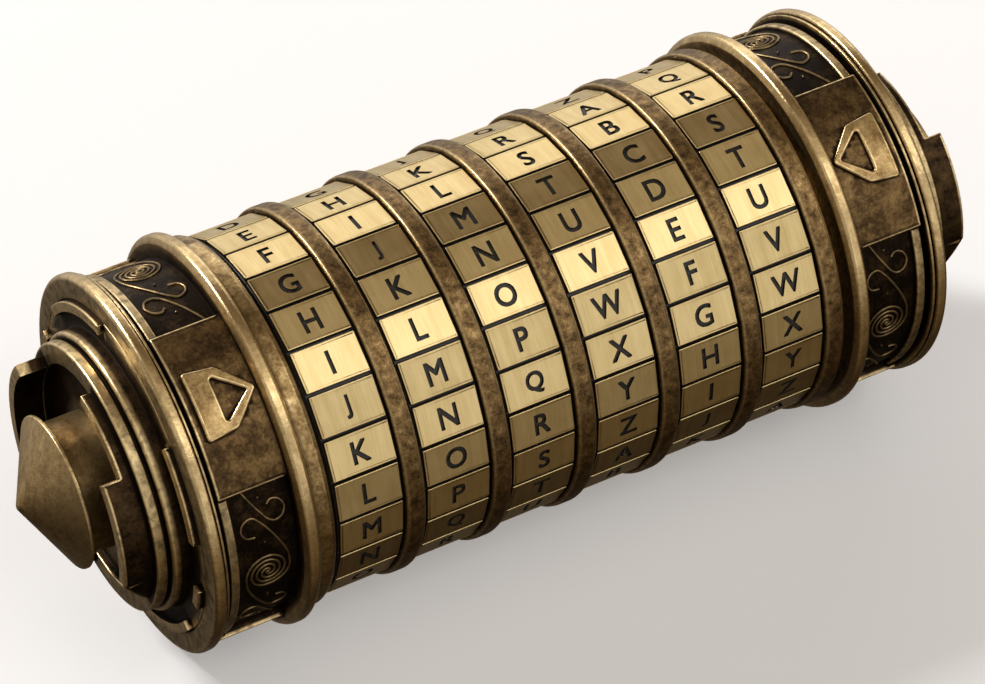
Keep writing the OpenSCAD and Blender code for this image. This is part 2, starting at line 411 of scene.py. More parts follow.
def discard(obj: bpy.types.Object) -> None:
    """Removes a helper object and its mesh.

    Args:
        obj: the object.
    """
    mesh = obj.data
    bpy.data.objects.remove(obj)
    bpy.data.meshes.remove(mesh)


def combine(base: bpy.types.Object, tool: bpy.types.Object, how: Cut) -> None:
    """Joins a tool solid to the base, or cuts it away, and removes the tool.

    Args:
        base: the solid that is kept.
        tool: the solid that is used up.
        how: whether to join or to remove.
    """
    step = base.modifiers.new("combine", "BOOLEAN")
    step.operation = how.value
    step.solver = "MANIFOLD"
    step.object = tool
    mesh = evaluated_mesh(base)
    base.modifiers.remove(step)
    old, base.data = base.data, mesh
    bpy.data.meshes.remove(old)
    discard(tool)


def merged(name: str, pieces: Sequence[bpy.types.Object]) -> bpy.types.Object:
    """Joins pieces that do not touch into one object, and removes them.

    Args:
        name: name of the object.
        pieces: the pieces that are used up.

    Returns:
        The object that holds them all.
    """
    bm = bmesh.new()
    for piece in pieces:
        bm.from_mesh(piece.data)
    mesh = bpy.data.meshes.new(name)
    bm.to_mesh(mesh)
    bm.free()
    for piece in pieces:
        discard(piece)
    return linked(name, mesh)


def mark_wear_and_crease_shade(mesh: bpy.types.Mesh, gain: float = 9.0) -> None:
    """Stores how convex (up to 1) or hollow (down to -1) the surface is at each vertex.

    Args:
        mesh: the mesh that gets the attribute.
        gain: how strongly a bend counts.
    """
    count = len(mesh.vertices)
    places = np.empty(count * 3)
    normals = np.empty(count * 3)
    ends = np.empty(len(mesh.edges) * 2, dtype=np.int64)
    mesh.vertices.foreach_get("co", places)
    mesh.vertices.foreach_get("normal", normals)
    mesh.edges.foreach_get("vertices", ends)
    places, normals = places.reshape(-1, 3), normals.reshape(-1, 3)
    a, b = ends.reshape(-1, 2).T
    along = places[b] - places[a]
    along /= np.maximum(np.linalg.norm(along, axis=1, keepdims=True), 1e-12)
    bend = np.bincount(a, -(normals[a] * along).sum(1), count)
    bend += np.bincount(b, (normals[b] * along).sum(1), count)
    degree = np.maximum(np.bincount(a, minlength=count) + np.bincount(b, minlength=count), 1)
    layer = mesh.attributes.new(WEAR_AND_CREASE_SHADE, "FLOAT", "POINT")
    layer.data.foreach_set("value", np.clip(bend / degree * gain, -1, 1).astype(np.float32))


def shade(obj: bpy.types.Object, crease: float = 32.0) -> None:
    """Smooths the shading and marks how convex or hollow each vertex is, for worn edges and painted crease
    shade.

    Args:
        obj: the piece.
        crease: angle in degrees past which an edge stays sharp.
    """
    obj.data.polygons.foreach_set("use_smooth", [True] * len(obj.data.polygons))
    obj.data.set_sharp_from_angle(angle=math.radians(crease))
    mark_wear_and_crease_shade(obj.data)


# ---------------------------------------------------------------- node trees

class Graph:
    """Adds and joins the nodes of one tree, so that a recipe reads in order."""

    def __init__(self, tree: bpy.types.NodeTree) -> None:
        """Starts with an empty tree."""
        self.tree = tree
        tree.nodes.clear()

    def add(self, kind: str, settings: dict[str, Any] | None = None,
            inputs: dict[Any, Any] | None = None) -> bpy.types.Node:
        """Adds one node.

        Args:
            kind: the node's type.
            settings: its properties by name.
            inputs: a value, or a socket of another node, by input name or number.

        Returns:
            The node.
        """
        node = self.tree.nodes.new(kind)
        for name, value in (settings or {}).items():
            setattr(node, name, value)
        for name, value in (inputs or {}).items():
            if isinstance(value, bpy.types.NodeSocket):
                self.tree.links.new(value, node.inputs[name])
            else:
                node.inputs[name].default_value = value
        return node

    def math(self, operation: str, *values: Any, clamp: bool = False) -> bpy.types.NodeSocket:
        """Result of a Math node on numbers or sockets."""
        settings = {"operation": operation, "use_clamp": clamp}
        return self.add("ShaderNodeMath", settings, dict(enumerate(values))).outputs[0]

    def sway(self, tone: Any, texture: Any, amount: float, clamp: bool = False) -> bpy.types.NodeSocket:
        """Tone moved up or down by a texture that runs from 0 to 1."""
        return self.math("MULTIPLY_ADD", self.math("SUBTRACT", texture, 0.5), amount, tone, clamp=clamp)

    def vector(self, operation: str, *values: Any) -> bpy.types.Node:
        """A Vector Math node on vectors or sockets."""
        return self.add("ShaderNodeVectorMath", {"operation": operation}, dict(enumerate(values)))

    def noise(self, place: Any, scale: float, detail: float = 4.0,
              roughness: float = 0.6) -> bpy.types.NodeSocket:
        """Height of a noise texture, from 0 to 1.

        Args:
            place: where it is read.
            scale: how many blotches it has in a metre.
            detail: how many finer layers it has.
            roughness: strength of each finer layer.

        Returns:
            The height.
        """
        inputs = {"Vector": place, "Scale": scale, "Detail": detail, "Roughness": roughness}
        return self.add("ShaderNodeTexNoise", None, inputs).outputs[0]

    def mix(self, factor: Any, first: Any, second: Any) -> bpy.types.NodeSocket:
        """Mix of two colours."""
        return self.add("ShaderNodeMix", {"data_type": "RGBA"}, {0: factor, 6: first, 7: second}).outputs[2]

    def remap(self, value: Any, low: float, high: float, start: float = 0.0,
              end: float = 1.0) -> bpy.types.NodeSocket:
        """Moves a value from one range to another, held at its ends.

        Args:
            value: the value.
            low: value that becomes start.
            high: value that becomes end.
            start: first end of the new range.
            end: second end of the new range.

        Returns:
            The moved value.
        """
        inputs = {"Value": value, "From Min": low, "From Max": high, "To Min": start, "To Max": end}
        return self.add("ShaderNodeMapRange", None, inputs).outputs[0]

    def ramp(self, value: Any, stops: Sequence[tuple[float, Colour]]) -> bpy.types.NodeSocket:
        """Picks a colour from a ramp.

        Args:
            value: place on the ramp, from 0 to 1.
            stops: the ramp's stops, each with its place and colour.

        Returns:
            The colour.
        """
        node = self.add("ShaderNodeValToRGB", None, {0: value})
        steps = node.color_ramp.elements
        while len(steps) < len(stops):
            steps.new(1.0)
        for step, (place, colour) in zip(steps, stops):
            step.position = place
            step.color = rgba(colour)
        return node.outputs[0]

    def surface(self, colour: Any, rough: Any, relief: Any, strength: float, depth: float,
                metallic: float = 1.0) -> None:
        """Ends a material's tree with its surface.

        Args:
            colour: colour of the surface.
            rough: its roughness.
            relief: height of its fine relief.
            strength: how strongly the relief shows.
            depth: depth of the relief.
            metallic: 1 for metal and 0 for lacquer.
        """
        inputs = {"Height": relief, "Strength": strength, "Distance": depth}
        bump = self.add("ShaderNodeBump", None, inputs).outputs[0]
        shader = self.add("ShaderNodeBsdfPrincipled", None, {
            "Base Color": colour, "Roughness": rough, "Normal": bump, "Metallic": metallic})
        self.add("ShaderNodeOutputMaterial", None, {"Surface": shader.outputs[0]})


def rgba(colour: Colour) -> tuple[float, float, float, float]:
    """A colour with full opacity."""
    return (*colour, 1.0)


def barrel_place(graph: Graph) -> bpy.types.NodeSocket:
    """Reads the place on the piece.

    Args:
        graph: tree of the material.

    Returns:
        The place, counted from the barrel axis.
    """
    place = graph.add("ShaderNodeTexCoord").outputs["Object"]
    inputs = {"Vector": place, "Location": (0.0, 0.0, -BARREL.axis_z)}
    return graph.add("ShaderNodeMapping", None, inputs).outputs[0]


def corner_shade(graph: Graph, reach: float) -> bpy.types.NodeSocket:
    """How open the surface is: 1 in the open and 0 deep in a corner, over that reach."""
    return graph.add("ShaderNodeAmbientOcclusion", {"samples": 4}, {"Distance": reach}).outputs["AO"]


# ---------------------------------------------------------------- finishes

def new_material(name: str) -> tuple[bpy.types.Material, Graph]:
    """Makes a material with an empty tree.

    Args:
        name: name of the material.

    Returns:
        The material, and the graph that fills its tree.
    """
    material = bpy.data.materials.new(name)
    material.use_nodes = True
    return material, Graph(material.node_tree)


@dataclass(frozen=True)
class AntiqueBrass:
    """Cast brass, blackened and rubbed back: dark in the hollows, bright on the high edges, with painted
    shade darkening its corners and creases.
    """

    name: str
    # hollow: the blackest patina; the painted corner and crease shade also darkens towards it
    hollow: Colour = (0.014, 0.009, 0.006)
    dark: Colour = (0.085, 0.050, 0.022)
    middle: Colour = (0.255, 0.158, 0.064)
    light: Colour = (0.520, 0.360, 0.160)
    worn: Colour = (0.900, 0.680, 0.360)
    tone: float = 0.5  # place among the five colours before the mottling, from 0 to 1
    contrast: float = 1.0  # how far the mottling moves the tone
    mottle_scale: float = 420.0
    low_radius: float = 22.0 * MM  # where the rubbing starts, out from the barrel axis
    high_radius: float = 24.6 * MM  # where the rubbing is full
    rubbed: float = 0.0  # how much lighter the rubbing makes the metal
    edge: float = 0.8  # how bright the worn edges are
    painted_shade: float = 0.9  # how dark the painted shade in the corners and creases is
    # how far from a corner the painted shade reaches
    painted_shade_reach: float = 1.1 * MM
    roughness: float = 0.30
    bump: float = 0.22
    bump_depth: float = 0.12 * MM
    blotches: float = 1.8  # strength of the large mottling
    specks: float = 0.7  # strength of the fine mottling
    speck_scale: float = 5.5  # how many times finer the specks are than the blotches
    break_scale: float = 2.2  # how many times finer the breaks in a worn edge are

    def material(self) -> bpy.types.Material:
        """Builds the material.

        Returns:
            A material whose tone follows the distance from the axis and the worn edges, with painted shade
            in the corners and creases.
        """
        material, graph = new_material(self.name)
        place = barrel_place(graph)
        flat = graph.vector("MULTIPLY", place, (0, 1, 1)).outputs[0]
        radius = graph.vector("LENGTH", flat).outputs["Value"]
        height = graph.remap(radius, self.low_radius, self.high_radius)
        mottle = graph.noise(place, self.mottle_scale, 6.0, 0.68)
        speck = graph.noise(place, self.mottle_scale * self.speck_scale, 3.0, 0.6)
        tone = graph.sway(self.tone, mottle, self.contrast * self.blotches)
        tone = graph.sway(tone, speck, self.contrast * self.specks)
        tone = graph.math("MULTIPLY_ADD", height, self.rubbed, tone, clamp=True)
        stops = [(0.0, self.hollow), (0.25, self.dark), (0.5, self.middle), (0.75, self.light),
                 (1.0, self.worn)]
        colour = graph.ramp(tone, stops)
        wear_and_crease_shade = graph.add("ShaderNodeAttribute", {"attribute_name": WEAR_AND_CREASE_SHADE}).outputs["Fac"]
        broken = graph.remap(graph.noise(place, self.mottle_scale * self.break_scale), 0.35, 0.6, 0.35, 1.0)
        broken = graph.math("MULTIPLY", broken, self.edge)
        edge = graph.math("MULTIPLY", graph.remap(wear_and_crease_shade, 0.12, 0.6), broken, clamp=True)
        # painted shade: corners that the occlusion finds, and hollow creases, are darkened towards the
        # hollow colour
        open_sky = corner_shade(graph, self.painted_shade_reach)
        painted_shade = graph.math("MULTIPLY", graph.remap(open_sky, 0.92, 0.35), self.painted_shade, clamp=True)
        painted_shade = graph.math("MAXIMUM", painted_shade, graph.math("MULTIPLY", graph.remap(wear_and_crease_shade, -0.1, -0.6), self.painted_shade))
        colour = graph.mix(edge, colour, rgba(self.worn))
        colour = graph.mix(painted_shade, colour, rgba(self.hollow))
        rough = graph.remap(tone, 0.0, 1.0, self.roughness + 0.12, self.roughness - 0.06)
        rough = graph.math("MULTIPLY_ADD", speck, 0.12, rough)
        rough = graph.math("MULTIPLY_ADD", edge, -0.12, rough)
        rough = graph.math("MULTIPLY_ADD", painted_shade, 0.2, rough, clamp=True)
        relief = graph.math("MULTIPLY_ADD", mottle, 0.5, speck)
        graph.surface(colour, rough, relief, self.bump, self.bump_depth)
        return material


@dataclass(frozen=True)
class BrushedBrass:
    """Flat polished brass, brushed round the barrel before the facets are lacquered."""

    name: str
    dark: Colour = (0.560, 0.385, 0.145)
    light: Colour = (0.900, 0.715, 0.370)
    roughness: float = 0.27
    line_scale: float = 5200.0
    run_scale: float = 90.0
    band_scale: float = 5200.0 / 6
    band_run_scale: float = 135.0
    cloud_scale: float = 260.0
    tone: float = 0.62  # place between dark and light before the brushing
    bands: float = 0.9  # strength of the broad streaks
    lines: float = 0.6  # strength of the fine lines
    clouds: float = 0.45
    bump: float = 0.22
    bump_depth: float = 0.02 * MM

    def material(self) -> bpy.types.Material:
        """Builds the material.

        Returns:
            A material with fine lines that run round the barrel.
        """
        material, graph = new_material(self.name)
        place = barrel_place(graph)
        fine = (self.line_scale, self.run_scale, self.run_scale)
        brushed = graph.noise(graph.vector("MULTIPLY", place, fine).outputs[0], 1.0, 3.0, 0.7)
        coarse = (self.band_scale, self.band_run_scale, self.band_run_scale)
        bands = graph.noise(graph.vector("MULTIPLY", place, coarse).outputs[0], 1.0, 3.0)
        cloud = graph.noise(place, self.cloud_scale)
        tone = graph.sway(self.tone, bands, self.bands)
        tone = graph.sway(tone, brushed, self.lines)
        tone = graph.sway(tone, cloud, self.clouds, clamp=True)
        colour = graph.mix(tone, rgba(self.dark), rgba(self.light))
        rough = graph.math("MULTIPLY_ADD", cloud, 0.1, self.roughness - 0.05)
        rough = graph.math("MULTIPLY_ADD", brushed, 0.08, rough, clamp=True)
        graph.surface(colour, rough, brushed, self.bump, self.bump_depth)
        return material


@dataclass(frozen=True)
class BlackFill:
    """Black lacquer in the letters and in the grooves between the cells."""

    name: str
    colour: Colour = (0.012, 0.009, 0.008)
    dust: Colour = (0.050, 0.036, 0.022)
    dust_scale: float = 2400.0
    bump: float = 0.2
    bump_depth: float = 0.03 * MM

    def material(self) -> bpy.types.Material:
        """Builds the material.

        Returns:
            A lacquer with a little brass dust caught in it.
        """
        material, graph = new_material(self.name)
        place = barrel_place(graph)
        specks = graph.remap(graph.noise(place, self.dust_scale, 3.0), 0.52, 0.72)
        colour = graph.mix(specks, rgba(self.colour), rgba(self.dust))
        rough = graph.remap(specks, 0.0, 1.0, 0.42, 0.62)
        graph.surface(colour, rough, specks, self.bump, self.bump_depth, metallic=0.0)
        return material


@dataclass(frozen=True)
class TurnedMetal:
    """Machined metal of the inner pieces: fine turning lines, light tarnish and painted shade in the
    corners.
    """

    name: str
    base: Colour
    tarnish: Colour
    roughness: float = 0.3
    # colour of the painted shade in the corners
    painted_shade_colour: Colour = (0.02, 0.015, 0.01)
    line_scale: float = 2600.0
    run_scale: float = 60.0
    cloud_scale: float = 160.0
    bump: float = 0.25
    bump_depth: float = 0.03 * MM

    def material(self) -> bpy.types.Material:
        """Builds the material.

        Returns:
            A material with tool lines round the barrel and tarnish in clouds.
        """
        material, graph = new_material(self.name)
        place = barrel_place(graph)
        lines = (self.line_scale, self.run_scale, self.run_scale)
        turned = graph.noise(graph.vector("MULTIPLY", place, lines).outputs[0], 1.0, 2.0)
        cloud = graph.noise(place, self.cloud_scale, 5.0, 0.65)
        stain = graph.remap(graph.math("MULTIPLY_ADD", turned, 0.25, cloud), 0.5, 0.85)
        # painted shade: corners that the occlusion finds are darkened towards that colour
        corner = graph.remap(corner_shade(graph, 0.8 * MM), 0.9, 0.4, 0.0, 0.7)
        colour = graph.mix(stain, rgba(self.base), rgba(self.tarnish))
        colour = graph.mix(corner, colour, rgba(self.painted_shade_colour))
        rough = graph.math("MULTIPLY_ADD", cloud, 0.25, self.roughness - 0.08)
        graph.surface(colour, rough, turned, self.bump, self.bump_depth)
        return material


Finish = AntiqueBrass | BrushedBrass | BlackFill | TurnedMetal

CELL_BRASS = BrushedBrass("cell_brass")
BLACK_FILL = BlackFill("black_fill")
BEAD_BRASS = AntiqueBrass("bead_brass", tone=0.34, contrast=0.7, rubbed=0.08, edge=0.6, mottle_scale=900.0,
                          low_radius=22.8 * MM, high_radius=23.6 * MM, roughness=0.30)
CAP_BRASS = AntiqueBrass("cap_brass", tone=0.02, contrast=0.6, rubbed=0.72, edge=1.1,
                         low_radius=22.9 * MM, high_radius=24.1 * MM)
SCROLL_BRASS = AntiqueBrass("scroll_brass", tone=0.28, contrast=0.8, edge=0.25, painted_shade=0.6)
CROWN_BRASS = AntiqueBrass("crown_brass", tone=0.12, contrast=0.45, edge=1.3, painted_shade=0.9, roughness=0.28)
CONE_BRASS = AntiqueBrass("cone_brass", tone=0.58, contrast=0.5, edge=0.9, painted_shade=0.9, mottle_scale=760.0,
                          painted_shade_reach=3.0 * MM, roughness=0.36)
RIDGE_BRASS = AntiqueBrass("ridge_brass", tone=0.62, contrast=0.9, edge=0.6, roughness=0.28)
INNER_BRASS = TurnedMetal("inner_brass", (0.62, 0.47, 0.22), (0.26, 0.17, 0.07))
STEEL = TurnedMetal("screw_steel", (0.56, 0.55, 0.53), (0.22, 0.20, 0.18), roughness=0.26)


@lru_cache(maxsize=None)
def material_of(finish: Finish) -> bpy.types.Material:
    """The material of a finish, built once."""
    return finish.material()


def dress(obj: bpy.types.Object, finishes: Sequence[Finish],
          choose: Callable[[Vector], int] | None = None) -> None:
    """Gives a piece its finishes.

    Args:
        obj: the piece.
        finishes: what it is finished with.
        choose: gives the number of the finish at the centre of a face, or nothing for the first.
    """
    obj.data.materials.clear()
    for finish in finishes:
        obj.data.materials.append(material_of(finish))
    for face in obj.data.polygons:
        face.material_index = choose(face.center) if choose else 0


# ---------------------------------------------------------------- geometry nodes

class Pattern:
    """A geometry tree with named inputs that is applied to a piece and then removed."""

    def __init__(self, name: str, inputs: dict[str, str]) -> None:
        """Makes the tree and its inputs.

        Args:
            name: name of the tree.
            inputs: socket type of each input, by name.
        """
        self.tree = bpy.data.node_groups.new(name, "GeometryNodeTree")
        self.graph = Graph(self.tree)
        self.ids: dict[str, str] = {}
        for label, kind in {"Geometry": "NodeSocketGeometry", **inputs}.items():
            socket = self.tree.interface.new_socket(label, in_out="INPUT", socket_type=kind)
            self.ids[label] = socket.identifier
        self.tree.interface.new_socket("Geometry", in_out="OUTPUT", socket_type="NodeSocketGeometry")
        self.inputs = self.graph.add("NodeGroupInput").outputs
        self.lay_out()

    def lay_out(self) -> None:
        """Adds the nodes of the tree."""
        raise NotImplementedError

    def round_the_barrel(self, geometry: bpy.types.NodeSocket) -> None:
        """Repeats geometry evenly round the barrel axis, and ends the tree.

        Args:
            geometry: the socket that gives one copy in its place.
        """
        graph, inputs = self.graph, self.inputs
        up = graph.add("ShaderNodeCombineXYZ", None, {"Z": inputs["Axis height"]}).outputs[0]
        down = graph.vector("SCALE", up)
        down.inputs["Scale"].default_value = -1.0
        centred = graph.add("GeometryNodeTransform", None, {
            "Geometry": geometry, "Translation": down.outputs[0]})
        spots = graph.add("GeometryNodeMeshLine", {"mode": "OFFSET"}, {
            "Count": inputs["Count"], "Start Location": up, "Offset": (0.0, 0.0, 0.0)})
        part = graph.math("DIVIDE", math.tau, inputs["Count"])
        angle = graph.math("MULTIPLY", graph.add("GeometryNodeInputIndex").outputs[0], part)
        turn = graph.add("FunctionNodeAxisAngleToRotation", None, {"Axis": (1.0, 0.0, 0.0), "Angle": angle})
        copies = graph.add("GeometryNodeInstanceOnPoints", None, {
            "Points": spots.outputs[0], "Instance": centred.outputs[0], "Rotation": turn.outputs[0]})
        real = graph.add("GeometryNodeRealizeInstances", None, {"Geometry": copies.outputs[0]})
        painted = graph.add("GeometryNodeSetMaterial", None, {
            "Geometry": real.outputs[0], "Material": inputs["Material"]})
        graph.add("NodeGroupOutput", None, {0: painted.outputs[0]})

    def apply(self, obj: bpy.types.Object, values: dict[str, Any]) -> None:
        """Runs the tree on a piece and keeps the result as its plain mesh.

        Args:
            obj: the piece that the tree starts from.
            values: value of each input, by name.
        """
        step = obj.modifiers.new(self.tree.name, "NODES")
        step.node_group = self.tree
        for label, value in values.items():
            step[self.ids[label]] = value
        obj.update_tag()
        mesh = evaluated_mesh(obj)
        obj.modifiers.remove(step)
        old, obj.data = obj.data, mesh
        bpy.data.meshes.remove(old)


class RingPattern(Pattern):
    """Repeats a solid evenly round the barrel."""

    def __init__(self) -> None:
        """Makes the tree."""
        super().__init__("ring_pattern", {
            "Count": "NodeSocketInt", "Axis height": "NodeSocketFloat", "Material": "NodeSocketMaterial"})

    def lay_out(self) -> None:
        """Uses the piece as it is."""
        self.round_the_barrel(self.inputs["Geometry"])


class WirePattern(Pattern):
    """Sweeps a round wire along every line of a piece, and repeats it round the barrel."""

    def __init__(self) -> None:
        """Makes the tree."""
        super().__init__("wire_pattern", {
            "Count": "NodeSocketInt", "Axis height": "NodeSocketFloat", "Wire radius": "NodeSocketFloat",
            "Material": "NodeSocketMaterial"})

    def lay_out(self) -> None:
        """Turns the lines into curves and gives them a round section."""
        graph, inputs = self.graph, self.inputs
        curve = graph.add("GeometryNodeMeshToCurve", None, {0: inputs["Geometry"]}).outputs[0]
        section = graph.add("GeometryNodeCurvePrimitiveCircle", None, {
            "Resolution": 8, "Radius": inputs["Wire radius"]}).outputs[0]
        wire = graph.add("GeometryNodeCurveToMesh", None, {
            "Curve": curve, "Profile Curve": section, "Fill Caps": True})
        self.round_the_barrel(wire.outputs[0])


# ---------------------------------------------------------------- sub-assemblies

def show(obj: bpy.types.Object, body: str, slot: str, *nodes: str) -> None:
    """Hands a finished piece to the frame and reports it.

    Args:
        obj: the piece, in its place.
        body: the body that it rides on.
        slot: the record's material slot of its finish; not used.
        nodes: the nodes that it stands for.
    """
    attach(obj, body)
    if nodes:
        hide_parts(*nodes)
    log.info("%s: %d faces, rides on %s", obj.name, len(obj.data.polygons), body)


@dataclass
class LetterRings:
    """The six letter rings: flat brass cells with engraved letters, and a cast bead."""

    code: str = "ILOVEU"  # the letters on the read-out line, one to a ring
    alphabet: str = "ABCDEFGHIJKLMNOPQRSTUVWXYZ"
    corner_radius: float = 23.0 * MM
    bore: float = 18.85 * MM
    cell_width: float = 8.7 * MM
    ring_width: float = 11.15 * MM
    separator: float = 0.46 * MM
    floor_depth: float = 0.5 * MM
    side_margin: float = 0.1 * MM
    bead_gap: float = 0.28 * MM
    edge: float = 0.09 * MM
    bead_radius: float = 23.58 * MM
    letter_height: float = 2.72 * MM
    letter_depth: float = 0.28 * MM
    font_cap_height: float = 0.682  # height of a capital in a font of size 1
    segments_per_cell: int = 8
    cell_corner: float = 0.12 * MM
    cell_root: float = 0.3 * MM  # how far a cell reaches into the core, so that they join
    letter_bold: float = 0.085 * MM
    letter_width: float = 0.92
    crease: float = 20.0

    @property
    def step(self) -> float:
        """Angle between cells."""
        return math.tau / len(self.alphabet)

    @property
    def apothem(self) -> float:
        """Distance from the axis to the middle of a facet."""
        return self.corner_radius * math.cos(self.step / 2)

    def on_facet(self, letter: int) -> Callable[[Vector], Vector]:
        """Gives the placing of flat pieces on one facet.

        Args:
            letter: number of the facet, in the alphabet's order.

        Returns:
            A function that places a point whose X runs down, Y along the barrel and Z outwards.
        """
        a = letter * self.step
        outward = BARREL.at(0, 1, a) - BARREL.at(0, 0, a)
        down = BARREL.at(0, 1, a + math.pi / 2) - BARREL.at(0, 0, a)
        start = BARREL.at(BARREL.ring_start, 0, a)
        along = Vector((1, 0, 0))
        return lambda p: start + along * p.y + outward * p.z + down * p.x

    def core(self) -> bpy.types.Object:
        """Turns the body of the ring.

        Returns:
            The floor of the grooves, and the rounded bead.
        """
        x0, cell_end = BARREL.ring_start, BARREL.ring_start + self.cell_width
        end = BARREL.ring_start + self.ring_width
        low = self.apothem - self.floor_depth
        crest = self.bead_radius
        corners = [
            (x0, self.bore, 0), (x0, low, 0.05 * MM), (cell_end, low, 0.03 * MM),
            (cell_end, crest - 0.1 * MM, 0.25 * MM), (cell_end + 0.5 * MM, crest, 0.5 * MM),
            (end - 0.5 * MM, crest, 0.5 * MM), (end, crest - 0.15 * MM, 0.3 * MM), (end, self.bore, 0)]
        return lathe("letter_ring_core", rounded(corners), len(self.alphabet) * self.segments_per_cell)

    def cells(self, pattern: RingPattern) -> bpy.types.Object:
        """Makes the raised cells, one beside another round the ring.

        Args:
            pattern: the tree that repeats a piece round the barrel.

        Returns:
            All the cells as one object.
        """
        half = self.apothem * math.tan(self.step / 2) - self.separator / 2
        first, last = self.side_margin, self.cell_width - self.bead_gap
        soft = self.cell_corner
        corners = [(-half, first, soft), (half, first, soft), (half, last, soft), (-half, last, soft)]
        depth = self.floor_depth + self.cell_root
        pad = plate("cells", rounded(corners, 2), depth, self.edge)
        lift = Vector((0, 0, self.apothem - depth))
        place = self.on_facet(0)
        settle(pad, lambda p: place(p + lift))
        pattern.apply(pad, {"Count": len(self.alphabet), "Axis height": BARREL.axis_z,
                            "Material": material_of(CELL_BRASS)})
        return pad

    def letter(self, number: int) -> bpy.types.Object:
        """One letter as a cutter, standing in its cell.

        Args:
            number: place of the letter in the alphabet.

        Returns:
            A closed solid that reaches from the letter's floor to just over the cell.
        """
        text = bpy.data.curves.new("letter", "FONT")
        text.body = self.alphabet[number]
        text.size = self.letter_height / self.font_cap_height
        text.extrude = self.letter_depth
        text.resolution_u = 4
        source = linked("letter", text)
        mesh = evaluated_mesh(source)
        bpy.data.objects.remove(source)
        obj = linked("letter", mesh)
        places = [vert.co for vert in mesh.vertices]
        middle = Vector([(min(p[i] for p in places) + max(p[i] for p in places)) / 2 for i in range(3)])
        scale = self.letter_height / (max(p.y for p in places) - min(p.y for p in places))
        cell_middle = (self.side_margin + self.cell_width - self.bead_gap) / 2
        place = self.on_facet(number)
        wide = scale * self.letter_width
        settle(obj, lambda p: place(Vector((-(p.y - middle.y) * scale, cell_middle + (p.x - middle.x) * wide,
                                            self.apothem + p.z - middle.z))))
        ways = [place(Vector((down, along, 0))) - place(Vector((0, 0, 0)))
                for down, along in ((1, 1), (1, -1), (-1, 1), (-1, -1))]
        copies = [obj.copy() for _ in ways]
        for copy, way in zip(copies, ways):
            copy.data = obj.data.copy()
            copy.data.transform(Matrix.Translation(way * self.letter_bold))
            bpy.context.scene.collection.objects.link(copy)
        for copy in copies:
            combine(obj, copy, Cut.JOIN)
        return obj

    def finish_at(self, point: Vector) -> int:
        """Finds the finish of a face.

        Args:
            point: centre of the face.

        Returns:
            Place of the finish in the ring's list of materials.
        """
        if point.x > BARREL.ring_start + self.cell_width - 0.01 * MM:
            return RingFinish.BEAD.value
        a = math.atan2(-point.y, point.z - BARREL.axis_z) - BARREL.readout_tilt
        off = (a + self.step / 2) % self.step - self.step / 2
        height = math.hypot(point.y, point.z - BARREL.axis_z) * math.cos(off)
        return (RingFinish.CELL if height > self.apothem - self.edge else RingFinish.FILL).value

    def build(self, pattern: RingPattern) -> None:
        """Makes one ring, and places a turned copy for each letter of the code.

        Args:
            pattern: the tree that repeats a piece round the barrel.
        """
        ring = self.core()
        combine(ring, self.cells(pattern), Cut.JOIN)
        letters = [self.letter(i) for i in range(len(self.alphabet))]
        combine(ring, merged("letters", letters), Cut.REMOVE)
        shade(ring, self.crease)
        dress(ring, (CELL_BRASS, BLACK_FILL, BEAD_BRASS), self.finish_at)
        for face in ring.data.polygons:
            face.use_smooth = face.material_index == RingFinish.BEAD.value
        for k, letter in enumerate(self.code):
            mesh = ring.data.copy()
            turn = BARREL.turned(-self.alphabet.index(letter) * self.step)
            mesh.transform(Matrix.Translation((k * BARREL.ring_pitch, 0, 0)) @ turn)
            obj = linked(f"letter_ring_{k + 1}_dressed", mesh)
            show(obj, f"ring_{k + 1}", "ring_brass", f"letter_ring_{k + 1}")
        discard(ring)


